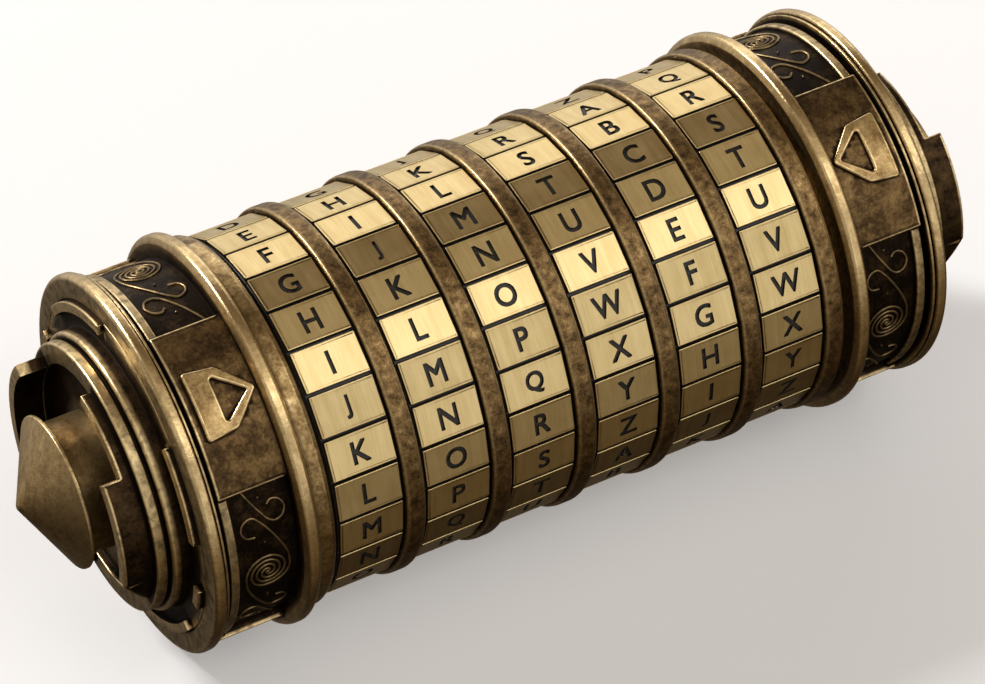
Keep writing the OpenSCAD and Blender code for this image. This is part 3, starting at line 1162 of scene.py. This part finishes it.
@dataclass
class EndCap:
    """An end cap: ridge, frieze with plaques, arrows and scrolls, border, groove and rim."""

    side: Side
    plaque_count: int = 3
    plaque_angle: float = math.radians(47.0)
    ridge_width: float = 2.2 * MM
    frieze_width: float = 7.7 * MM
    border_width: float = 1.25 * MM
    groove_width: float = 0.55 * MM
    frieze_radius: float = 22.1 * MM
    border_radius: float = 22.8 * MM
    groove_radius: float = 21.7 * MM
    plaque_radius: float = 23.4 * MM
    plaque_root: float = 0.8 * MM
    plaque_edge: float = 0.16 * MM
    arrow_height: float = 0.5 * MM
    arrow_root: float = 0.4 * MM
    arrow_edge: float = 0.26 * MM
    arrow_shift: float = 0.5 * MM  # how far the arrow stands up round the cap from the read-out line
    arrow_tip: float = 0.12 * MM
    arrow_shoulder: Point = (3.72 * MM, 3.9 * MM)
    arrow_base: Point = (4.25 * MM, 7.95 * MM)
    window_tip: float = 1.35 * MM
    window_base: Point = (2.85 * MM, 5.0 * MM)
    rim_radius: float = 24.0 * MM
    seat_radius: float = 21.05 * MM
    seat_depth: float = 0.5 * MM
    wall: float = 3.0 * MM
    cavity_radius: float = 19.2 * MM
    stud_radius: float = 2.55 * MM
    screw_ring: float = 11.3 * MM
    screw_count: int = 3
    screw_angle: float = math.radians(60)
    screw_shank: float = 1.27 * MM
    screw_head: float = 2.33 * MM
    screw_head_depth: float = 1.42 * MM
    screw_sides: int = 32
    wire_radius: float = 0.17 * MM
    spiral_reach: float = 2.85  # in mm, as the points of the scroll lines are
    spiral_turns: float = 2.1
    spiral_steps: int = 60
    scroll_shift: float = -0.8 * MM
    scroll_lift: float = 0.05 * MM
    wire_crease: float = 50.0

    @property
    def name(self) -> str:
        """Start of the names of this end's pieces."""
        return self.side.name.lower()

    def out(self, distance: float) -> float:
        """X of a place given by its distance from the cap's mouth."""
        return BARREL.mouth(self.side) + self.side.value * distance

    def section(self) -> list[Point]:
        """Lays out the section of the casting, with its mouldings.

        Returns:
            Points of x and radius.
        """
        ridge, top = self.ridge_width, BARREL.top_radius
        frieze_end = ridge + self.frieze_width
        border_end = frieze_end + self.border_width
        rim = border_end + self.groove_width
        end = BARREL.cap_width
        inner = end - self.seat_depth - self.wall
        low, border, groove = self.frieze_radius, self.border_radius, self.groove_radius
        rim_r = self.rim_radius
        corners = [
            (0, self.cavity_radius, 0), (0, top - 0.85 * MM, 0.15 * MM), (0.5 * MM, top, 0.6 * MM),
            (ridge - 0.5 * MM, top, 0.6 * MM), (ridge, top - 0.9 * MM, 0.2 * MM), (ridge, low, 0.1 * MM),
            (frieze_end, low, 0.08 * MM), (frieze_end + 0.05 * MM, border, 0.25 * MM),
            (border_end - 0.05 * MM, border, 0.25 * MM), (border_end, groove, 0.1 * MM),
            (rim, groove, 0.1 * MM), (rim, rim_r - 0.45 * MM, 0.12 * MM),
            (rim + 0.3 * MM, rim_r - 0.4 * MM, 0.12 * MM), (rim + 0.38 * MM, rim_r - 0.75 * MM, 0.05 * MM),
            (rim + 0.48 * MM, rim_r - 0.75 * MM, 0.05 * MM), (rim + 0.5 * MM, rim_r - 0.05 * MM, 0.4 * MM),
            (end, rim_r, 0.75 * MM), (end, self.seat_radius, 0.12 * MM),
            (end - self.seat_depth, self.seat_radius, 0), (end - self.seat_depth, self.stud_radius, 0),
            (inner, self.stud_radius, 0), (inner, self.cavity_radius, 0.4 * MM)]
        return rounded([(self.out(x), r, fillet) for x, r, fillet in corners])

    def on_cap(self, radius: float) -> Callable[[Vector], Vector]:
        """Gives the wrapping of flat pieces: X round the cap, Y out from the ridge, Z outwards."""
        return lambda p: BARREL.at(self.out(self.ridge_width + p.y), radius + p.z, p.x / radius)

    def plaque(self) -> bpy.types.Object:
        """Makes one raised plaque, at the read-out line.

        Returns:
            The plaque, wrapped round the cap.
        """
        half = self.plaque_radius * self.plaque_angle / 2
        depth = self.frieze_width + self.border_width
        foot, soft = -0.3 * MM, 0.15 * MM
        corners = [(-half, foot, 0), (half, foot, 0), (half, depth, soft), (-half, depth, soft)]
        height = self.plaque_root + self.plaque_radius - self.frieze_radius
        obj = plate("plaque", rounded(corners, 2), height, self.plaque_edge)
        wrap(obj, self.on_cap(self.frieze_radius - self.plaque_root), 0.55 * MM, 1.1 * MM)
        return obj

    def arrow(self) -> bpy.types.Object:
        """Makes one arrow frame with a window, whose tip points at the rings.

        Returns:
            The frame, wrapped round the cap.
        """
        shoulder, shoulder_y = self.arrow_shoulder
        base, base_y = self.arrow_base
        window, window_y = self.window_base
        corners = [(0, self.arrow_tip, 0.5 * MM), (shoulder, shoulder_y, 0.9 * MM),
                   (base, base_y, 0.45 * MM), (-base, base_y, 0.45 * MM), (-shoulder, shoulder_y, 0.9 * MM)]
        hole = rounded([(0, self.window_tip, 0.15 * MM), (window, window_y, 0.3 * MM),
                        (-window, window_y, 0.3 * MM)])
        height = self.arrow_root + self.arrow_height
        obj = plate("arrow", rounded(corners), height, self.arrow_edge, [hole], 0.08 * MM)
        place = self.on_cap(self.plaque_radius - self.arrow_root)
        up = Vector((self.arrow_shift, 0, 0))
        wrap(obj, lambda p: place(p - up), 0.5 * MM)
        return obj

    def screw_holes(self) -> bpy.types.Object:
        """Makes the cutters for the countersunk cap screws.

        Returns:
            All the cutters as one object.
        """
        holes = []
        sides = self.screw_sides
        seat = BARREL.cap_width - self.seat_depth
        neck = seat - self.screw_head_depth
        corners = [(seat - self.wall - MM, self.screw_shank), (neck, self.screw_shank),
                   (neck, self.screw_head), (seat + MM, self.screw_head)]
        for k in range(self.screw_count):
            centre = BARREL.at(0, self.screw_ring, self.screw_angle + k * math.tau / self.screw_count)
            spokes = [Vector((0, math.cos(math.tau * i / sides), math.sin(math.tau * i / sides)))
                      for i in range(sides)]
            verts = [Vector((self.out(x), centre.y, centre.z)) + spoke * r
                     for x, r in corners for spoke in spokes]
            last = (len(corners) - 1) * sides
            faces = [face for row in range(0, last, sides) for face in band(row, row + sides, sides)]
            faces += [tuple(range(sides)), tuple(range(last, last + sides))]
            holes.append(as_object("screw_hole", verts, faces))
        return merged("screw_holes", holes)

    def casting(self, pattern: RingPattern) -> bpy.types.Object:
        """Makes the whole casting, apart from the scroll relief.

        Args:
            pattern: the tree that repeats a piece round the barrel.

        Returns:
            The casting.
        """
        obj = lathe(f"{self.name}_cap_casting", self.section())
        repeat = {"Count": self.plaque_count, "Axis height": BARREL.axis_z,
                  "Material": material_of(CAP_BRASS)}
        for piece in (self.plaque(), self.arrow()):
            pattern.apply(piece, repeat)
            combine(obj, piece, Cut.JOIN)
        combine(obj, self.screw_holes(), Cut.REMOVE)
        shade(obj)
        dress(obj, (CAP_BRASS,))
        return obj

    def scroll_lines(self) -> list[list[Point]]:
        """Draws one scroll panel in its own plane: X down round the cap, Y towards the rings, in mm.

        Returns:
            The centre lines: two spiral arms that run out into curls, two hooked lines, and dots.
        """
        arm = []
        for i in range(self.spiral_steps + 1):
            t = i / self.spiral_steps
            angle = math.radians(90) - (1 - t) * self.spiral_turns * math.tau
            arm.append((self.spiral_reach * t * math.cos(angle), self.spiral_reach * t * math.sin(angle)))
        curl = smooth([(0.0, self.spiral_reach), (-1.6, 2.72), (-3.2, 2.2), (-5.6, 0.95), (-7.5, -0.3),
                       (-8.5, -1.35), (-8.15, -2.5), (-7.1, -2.9), (-6.1, -2.35), (-5.85, -1.3)])
        hook = smooth([(-13.2, -2.45), (-10.6, -1.15), (-8.6, 0.05), (-7.65, 0.75), (-7.2, 1.6),
                       (-7.6, 2.55), (-8.7, 2.95), (-9.75, 2.4), (-10.05, 1.45), (-9.6, 0.85)])
        dots = [[(-4.9, -0.12), (-4.75, -0.15)], [(-10.9, -0.02), (-10.75, -0.05)]]
        half = [arm + curl[1:], hook, *dots]
        return half + [[(-u, -w) for u, w in line] for line in half]

    def scrolls(self, pattern: WirePattern) -> bpy.types.Object:
        """Makes the raised scroll relief of the sunk panels.

        Args:
            pattern: the tree that sweeps a wire along lines, round the barrel.

        Returns:
            The relief of all the panels.
        """
        middle = self.out(self.ridge_width + self.frieze_width / 2)
        panel = math.pi / self.plaque_count
        radius = self.frieze_radius + self.scroll_lift
        verts: list[Vector] = []
        edges: list[tuple[int, int]] = []
        for line in self.scroll_lines():
            start = len(verts)
            verts += [BARREL.at(middle + w * MM, radius, panel + (u * MM + self.scroll_shift) / radius)
                      for u, w in line]
            edges += [(i, i + 1) for i in range(start, len(verts) - 1)]
        mesh = bpy.data.meshes.new(f"{self.name}_scrolls")
        mesh.from_pydata([tuple(v) for v in verts], edges, [])
        obj = linked(f"{self.name}_cap_scrolls", mesh)
        pattern.apply(obj, {"Count": self.plaque_count, "Axis height": BARREL.axis_z,
                            "Wire radius": self.wire_radius, "Material": material_of(SCROLL_BRASS)})
        settle(obj, lambda point: point)
        shade(obj, self.wire_crease)
        return obj

    def build(self, rings: RingPattern, wires: WirePattern) -> None:
        """Makes the cap's two pieces.

        Args:
            rings: the tree that repeats a piece round the barrel.
            wires: the tree that sweeps a wire along lines, round the barrel.
        """
        body = self.side.body.value
        show(self.casting(rings), body, "cap_brass", f"{self.name}_end_cap")
        show(self.scrolls(wires), body, "cap_brass")


def smooth(points: Sequence[Point], steps: int = 6) -> list[Point]:
    """Runs a smooth curve through points.

    Args:
        points: where the curve passes.
        steps: segments between two points.

    Returns:
        Points along the curve.
    """
    ends = [points[0], *points, points[-1]]
    out = []
    for i in range(1, len(ends) - 2):
        p0, p1, p2, p3 = (Vector(p) for p in ends[i - 1:i + 3])
        for k in range(steps):
            t = k / steps
            out.append(tuple(0.5 * (2 * p1 + (p2 - p0) * t + (2 * p0 - 5 * p1 + 4 * p2 - p3) * t * t
                                    + (3 * p1 - p0 - 3 * p2 + p3) * t ** 3)))
    return [*out, tuple(points[-1])]


@dataclass
class Crown:
    """The stepped crown at one end, with its broken outer wall and its merlons."""

    side: Side
    disc_radius: float = 20.95 * MM
    outer_wall: float = 1.25 * MM
    outer_height: float = 0.8 * MM
    low_radius: float = 17.6 * MM
    low_height: float = 2.2 * MM
    neck_radius: float = 16.4 * MM
    neck_height: float = 2.7 * MM
    high_radius: float = 16.95 * MM
    high_height: float = 4.0 * MM
    wall_outer: float = 15.8 * MM
    wall_inner: float = 14.3 * MM
    trough: float = 3.0 * MM
    low_merlon: float = 5.5 * MM
    tall_merlon: float = 7.7 * MM
    stud_radius: float = 2.55 * MM
    seat: float = 0.5 * MM
    right_turn: float = -12.0  # how far the right crown is turned from the left one, in degrees
    teeth: tuple[Point, ...] = ((6, 40), (60, 70), (90, 136), (186, 220), (240, 250), (270, 316))

    def out(self, height: float) -> float:
        """X of a place given by its height over the rim face."""
        return BARREL.face(self.side) + self.side.value * height

    def steps(self) -> bpy.types.Object:
        """Turns the stepped part.

        Returns:
            The disc, low step, neck, high step and inner trough.
        """
        neck = self.neck_radius
        corners = [
            (-self.seat, self.stud_radius, 0), (-self.seat, self.disc_radius, 0.1 * MM),
            (0, self.disc_radius, 0.15 * MM), (0, self.low_radius, 0.25 * MM),
            (self.low_height, self.low_radius, 0.45 * MM), (self.low_height, neck, 0.12 * MM),
            (self.neck_height, neck, 0.12 * MM), (self.neck_height, self.high_radius, 0.12 * MM),
            (self.high_height, self.high_radius, 0.3 * MM), (self.high_height, self.wall_inner, 0.2 * MM),
            (self.trough, self.wall_inner, 0.3 * MM), (self.trough, self.stud_radius, 0)]
        outline = rounded([(self.out(h), r, fillet) for h, r, fillet in corners])
        return lathe(f"{self.side.name.lower()}_crown", outline)

    def wall(self, outline: Sequence[Corner], inner: float, outer: float) -> bpy.types.Object:
        """Makes a piece of wall that stands on the crown.

        Args:
            outline: its corners as angle in degrees, height and rounding.
            inner: inner radius.
            outer: outer radius.

        Returns:
            The wall, wrapped round the crown.
        """
        turn = math.radians(self.right_turn if self.side is Side.RIGHT else 0.0)
        flat = rounded([(math.radians(a) * outer, h, fillet) for a, h, fillet in outline], 3)
        obj = plate("wall", flat, outer - inner, 0.14 * MM)
        wrap(obj, lambda p: BARREL.at(self.out(p.y), inner + p.z, turn + p.x / outer), 0.5 * MM)
        return obj

    def merlons(self) -> list[bpy.types.Object]:
        """Makes the two stretches of the inner wall.

        Returns:
            The stretch that ends in a ramp, and the one that is cut straight.
        """
        foot = self.high_height - 0.5 * MM
        soft = 0.12 * MM
        low, tall = self.low_merlon, self.tall_merlon
        ramped = [(-30, foot, 0), (86, foot, 0), (85.5, foot + 0.6 * MM, soft), (64, tall, 0.3 * MM),
                  (11, tall, soft), (11, low, soft), (-30, low, soft)]
        straight = [(150, foot, 0), (272, foot, 0), (272, tall, soft), (191, tall, soft),
                    (191, low, soft), (150, low, soft)]
        inner = self.wall_inner + 0.02 * MM
        return [self.wall(shape, inner, self.wall_outer) for shape in (ramped, straight)]

    def build(self) -> None:
        """Makes the crown as one piece."""
        obj = self.steps()
        soft = 0.1 * MM
        foot = -0.25 * MM
        top = self.outer_height
        inner = self.disc_radius - self.outer_wall
        walls = [self.wall([(a, foot, 0), (b, foot, 0), (b, top, soft), (a, top, soft)],
                           inner, self.disc_radius - 0.01 * MM) for a, b in self.teeth]
        combine(obj, merged("walls", walls + self.merlons()), Cut.JOIN)
        shade(obj)
        dress(obj, (CROWN_BRASS,))
        show(obj, self.side.body.value, "crown_dark_brass", f"{self.side.name.lower()}_crown_disc")


@dataclass
class ConeFinial:
    """The turned cone in the middle of a crown."""

    side: Side
    foot: float = 9.0 * MM
    tip: float = 14.08 * MM
    radius: float = 9.65 * MM
    lip: float = 0.45 * MM
    neck_radius: float = 8.3 * MM
    trough: float = 3.0 * MM
    stud_radius: float = 2.5 * MM
    stud_end: float = -6.5 * MM
    segments: int = 180

    def build(self) -> None:
        """Turns the finial, with a blunt tip, a thin lip, a neck and its stud."""
        out = self.side.value
        corners = [
            (self.tip, 0.0, 0), (self.tip - 0.06 * MM, 0.35 * MM, 0.3 * MM),
            (self.foot, self.radius, 0.22 * MM), (self.foot - self.lip, self.radius, 0.15 * MM),
            (self.foot - self.lip, self.neck_radius, 0.15 * MM), (self.trough, self.neck_radius, 0.1 * MM),
            (self.trough, self.stud_radius, 0), (self.stud_end, self.stud_radius, 0.2 * MM),
            (self.stud_end, 0.0, 0)]
        face = BARREL.face(self.side)
        outline = rounded([(face + out * h, r, fillet) for h, r, fillet in corners])
        obj = lathe(f"{self.side.name.lower()}_cone", outline, self.segments)
        shade(obj)
        dress(obj, (CONE_BRASS,))
        show(obj, self.side.body.value, "cone_brass", f"{self.side.name.lower()}_cone_finial")


@dataclass
class Sleeve:
    """The slotted sleeve that the rings turn on, with the flange beside the first ring."""

    flange_radius: float = 23.58 * MM
    base_radius: float = 17.0 * MM
    base_thickness: float = 3.0 * MM
    spigot_radius: float = 19.15 * MM
    spigot_length: float = 3.0 * MM
    outer: float = 13.8 * MM
    inner: float = 12.3 * MM
    stud_radius: float = 2.55 * MM
    slot_width: float = 3.6 * MM
    start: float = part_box("slotted_sleeve")[0].x
    end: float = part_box("slotted_sleeve")[1].x
    flange_face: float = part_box("friction_washer")[0].x

    def build(self) -> None:
        """Turns the sleeve and mills its slot."""
        mouth, floor = BARREL.left_mouth, self.start + self.base_thickness
        spigot_end = mouth - self.spigot_length
        corners = [
            (self.start, self.stud_radius, 0), (self.start, self.base_radius, 0.2 * MM),
            (floor, self.base_radius, 0.2 * MM), (floor, self.outer, 0.2 * MM),
            (spigot_end, self.outer, 0), (spigot_end, self.spigot_radius, 0.2 * MM),
            (mouth, self.spigot_radius, 0), (mouth, self.flange_radius - 0.1 * MM, 0.35 * MM),
            (mouth + 0.5 * MM, self.flange_radius, 0.5 * MM),
            (self.flange_face - 0.6 * MM, self.flange_radius, 0.6 * MM),
            (self.flange_face, self.flange_radius - 0.35 * MM, 0.3 * MM),
            (self.flange_face, self.outer, 0), (self.end, self.outer, 0.2 * MM),
            (self.end, self.inner, 0.1 * MM), (floor, self.inner, 0), (floor, self.stud_radius, 0)]
        obj = lathe("sleeve_dressed", rounded(corners))
        half = self.slot_width / 2
        first, last = BARREL.ring_start, self.end + MM
        slot = plate("slot", [(-half, first), (half, first), (half, last), (-half, last)],
                     4 * MM, 0.01 * MM, guard=0.0)
        outward = BARREL.at(0, 1, 0) - BARREL.at(0, 0, 0)
        across = BARREL.at(0, 1, math.pi / 2) - BARREL.at(0, 0, 0)
        axis = BARREL.at(0, 0, 0)
        low = self.inner - 1.5 * MM
        settle(slot, lambda p: axis + Vector((p.y, 0, 0)) + across * p.x + outward * (p.z + low))
        combine(obj, slot, Cut.REMOVE)
        shade(obj)
        near = self.flange_radius - 2.5 * MM
        dress(obj, (RIDGE_BRASS, INNER_BRASS),
              lambda p: 0 if math.hypot(p.y, p.z - BARREL.axis_z) > near else 1)
        show(obj, Body.BARREL.value, "inner_brass", "slotted_sleeve")


def dress_inner_pieces() -> None:
    """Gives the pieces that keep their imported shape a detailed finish."""
    groups = {
        INNER_BRASS: ["retaining_collar", "chamber_tube", *(f"code_ring_{k}" for k in range(1, 7))],
        STEEL: ["left_cap_screws", "right_cap_screws", "collar_screws", "locking_lugs", "friction_washer"],
    }
    for finish, names in groups.items():
        for name in names:
            for slot in frame["nodes"][name].material_slots:
                slot.material = material_of(finish)
            log.info("%s: packed shape, %s", name, finish.name)


# ---------------------------------------------------------------- studio

@dataclass(frozen=True)
class Softbox:
    """A rectangular softbox that faces the barrel."""

    name: str
    tilt: float  # angle in degrees from straight up towards the front
    lean: float  # part of its direction that lies along the barrel
    distance: float
    length: float
    height: float
    radiance: float

    def hang(self, target: Vector) -> None:
        """Makes the light.

        Args:
            target: the point that it faces.
        """
        across = math.sqrt(1 - self.lean * self.lean)
        turn = math.radians(self.tilt)
        away = Vector((self.lean, -across * math.sin(turn), across * math.cos(turn)))
        lamp = bpy.data.lights.new(self.name, "AREA")
        lamp.shape = "RECTANGLE"
        lamp.size = self.length
        lamp.size_y = self.height
        lamp.energy = self.radiance * math.pi * self.length * self.height
        side = Vector((1, 0, 0)) - away * self.lean
        side.normalize()
        turned = Matrix((side, away.cross(side), away)).transposed().to_4x4()
        linked(self.name, lamp).matrix_world = Matrix.Translation(target + away * self.distance) @ turned


@dataclass
class Studio:
    """Camera, pale floor and soft light."""

    azimuth: float = math.radians(-29.30)
    elevation: float = math.radians(43.894)
    distance: float = 0.54494
    lens: float = 162.68
    sensor: float = 36.0
    target: Vector = field(default_factory=lambda: Vector((-1.133, -1.272, 23.071)) * MM)
    floor_size: float = 6.0
    floor_gap: float = 0.02 * MM
    floor_colour: Colour = (0.66, 0.65, 0.65)
    floor_glow: Colour = (1.0, 0.985, 0.98)
    floor_strength: float = 0.27
    softboxes: tuple[Softbox, ...] = (
        Softbox("key_softbox", 37.0, 0.35, 1.3, 1.4, 0.42, 1.75),
        Softbox("front_softbox", 78.0, 0.35, 1.5, 1.4, 0.85, 0.50),
        Softbox("rear_softbox", -63.0, 0.35, 1.5, 1.6, 1.0, 1.12),
        Softbox("window", -48.0, -0.45, 2.2, 0.4, 0.4, 90.0))
    surroundings: tuple[tuple[float, Colour], ...] = (
        (-180, (0.02, 0.015, 0.01)), (-130, (0.14, 0.12, 0.10)), (-100, (0.66, 0.64, 0.62)),
        (-85, (0.42, 0.40, 0.36)), (-40, (0.16, 0.11, 0.06)), (-26, (0.085, 0.05, 0.015)),
        (-10, (0.10, 0.06, 0.02)), (6, (0.50, 0.44, 0.36)), (18, (0.62, 0.58, 0.50)),
        (60, (0.40, 0.37, 0.33)), (98, (0.38, 0.35, 0.30)), (118, (0.15, 0.115, 0.07)),
        (145, (0.10, 0.07, 0.04)), (162, (0.03, 0.02, 0.012)), (180, (0.02, 0.015, 0.01)))

    def camera(self) -> None:
        """Places the camera on its view line."""
        flat = math.cos(self.elevation)
        forward = Vector((-math.sin(self.azimuth) * flat, math.cos(self.azimuth) * flat,
                          -math.sin(self.elevation)))
        eye = bpy.data.cameras.new("camera")
        eye.lens = self.lens
        eye.sensor_width = self.sensor
        eye.clip_start = 0.01
        obj = bpy.data.objects.new("camera", eye)
        aim = forward.to_track_quat("-Z", "Y").to_matrix().to_4x4()
        obj.matrix_world = Matrix.Translation(self.target - forward * self.distance) @ aim
        bpy.context.scene.collection.objects.link(obj)
        bpy.context.scene.camera = obj

    def floor(self) -> None:
        """Lays a pale floor under the barrel."""
        half = self.floor_size / 2
        z = CAD_BOX[0][2] - self.floor_gap
        verts = [(-half, -half, z), (half, -half, z), (half, half, z), (-half, half, z)]
        mesh = bpy.data.meshes.new("floor")
        mesh.from_pydata(verts, [], [(0, 1, 2, 3)])
        obj = linked("floor", mesh)
        material, graph = new_material("floor_paper")
        shader = graph.add("ShaderNodeBsdfPrincipled", None, {
            "Base Color": rgba(self.floor_colour), "Roughness": 0.9, "Specular IOR Level": 0.1,
            "Emission Color": rgba(self.floor_glow), "Emission Strength": self.floor_strength})
        graph.add("ShaderNodeOutputMaterial", None, {"Surface": shader.outputs[0]})
        mesh.materials.append(material)
        obj.visible_glossy = False

    def room(self) -> None:
        """Lights the space round the barrel, by the angle from straight up towards the front."""
        world = bpy.data.worlds.new("studio")
        world.use_nodes = True
        graph = Graph(world.node_tree)
        place = graph.add("ShaderNodeTexCoord").outputs["Generated"]
        way = graph.add("ShaderNodeSeparateXYZ", None, {0: place}).outputs
        tilt = graph.math("ARCTAN2", graph.math("MULTIPLY", way["Y"], -1.0), way["Z"])
        stops = [(round(0.5 + degrees / 360, 4), colour) for degrees, colour in self.surroundings]
        colour = graph.ramp(graph.remap(tilt, -math.pi, math.pi), stops)
        light = graph.add("ShaderNodeBackground", None, {"Color": colour, "Strength": 1.0})
        graph.add("ShaderNodeOutputWorld", None, {"Surface": light.outputs[0]})
        bpy.context.scene.world = world

    def build(self) -> None:
        """Sets up the whole studio."""
        self.camera()
        self.floor()
        self.room()
        for softbox in self.softboxes:
            softbox.hang(self.target)
        bpy.context.scene.view_settings.view_transform = "Standard"


def main() -> None:
    """Builds the vault and its studio."""
    logging.basicConfig(level=logging.INFO, format="%(message)s", force=True)
    rings, wires = RingPattern(), WirePattern()
    Studio().build()
    LetterRings().build(rings)
    Sleeve().build()
    for side in Side:
        EndCap(side).build(rings, wires)
        Crown(side).build()
        ConeFinial(side).build()
    dress_inner_pieces()


if __name__ == "__main__":
    main()
